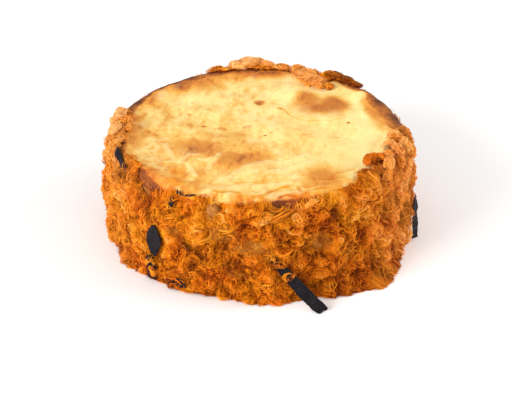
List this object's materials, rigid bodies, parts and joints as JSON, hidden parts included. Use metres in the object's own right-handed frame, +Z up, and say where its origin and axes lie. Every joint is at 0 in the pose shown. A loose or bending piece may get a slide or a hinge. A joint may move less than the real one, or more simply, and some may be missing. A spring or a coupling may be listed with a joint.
{
  "type": "cheese sponge cake",
  "caption": "Round baked-cheese sponge cake whose side and rim are coated in curly meat floss with strips of roasted seaweed, uncut, resting on its flat base.",
  "frame": {"origin": "centre of the cake's flat base, on the surface it rests on", "axes": "+Z up through the middle of the cake, -Y towards the front as pictured, +X to the viewer's right"},
  "size_m": [0.1694, 0.1748, 0.0618],
  "materials": {
    "sponge": "baked crumb, matte",
    "cheese": "baked cheese, slightly moist, browned in patches",
    "floss": "dry curly fibres, matte",
    "seaweed": "roasted leaf, crinkled, low sheen"
  },
  "bodies": {
    "root": {"sponge": "sponge", "cheese_top": "cheese", "floss_coat": "floss", "floss_curl": "floss", "nori_upper_left": "seaweed", "nori_left": "seaweed", "nori_left_foot": "seaweed", "nori_left_heel": "seaweed", "nori_rim": "seaweed", "nori_rim_lower": "seaweed", "nori_fleck": "seaweed", "nori_front": "seaweed", "nori_right": "seaweed", "nori_back_right": "seaweed", "nori_back": "seaweed", "nori_back_left": "seaweed"}
  },
  "joints": []
}
